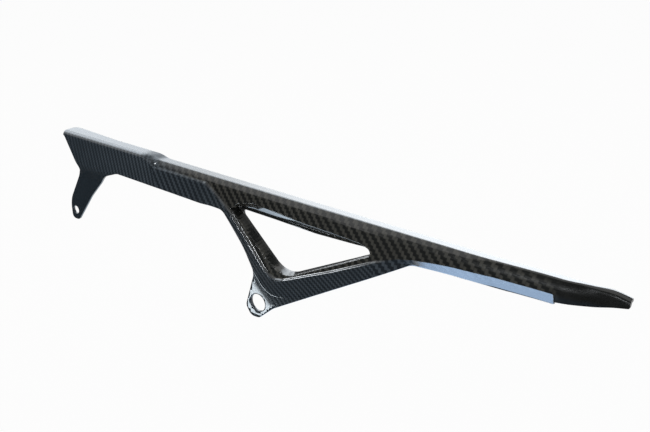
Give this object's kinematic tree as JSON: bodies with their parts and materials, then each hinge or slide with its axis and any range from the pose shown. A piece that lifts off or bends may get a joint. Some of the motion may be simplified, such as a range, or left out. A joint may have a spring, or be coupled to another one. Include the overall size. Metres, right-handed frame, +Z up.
{
  "type": "motorcycle chain guard",
  "caption": "Slim moulded carbon-fibre chain guard with a top flange, a triangular window, a long nose and two bolt lugs, for the rear of a motorcycle.",
  "frame": {"origin": "centre of the tab bore, on the tab's outer face", "axes": "+X along the chain run towards the nose, +Z up towards the flange, -Y towards the outer side"},
  "size_m": [0.4634, 0.0146, 0.0994],
  "materials": {
    "laminate": "clear-coated twill carbon-fibre laminate, high gloss outside"
  },
  "bodies": {
    "root": {"guard_shell": "laminate"}
  },
  "joints": []
}
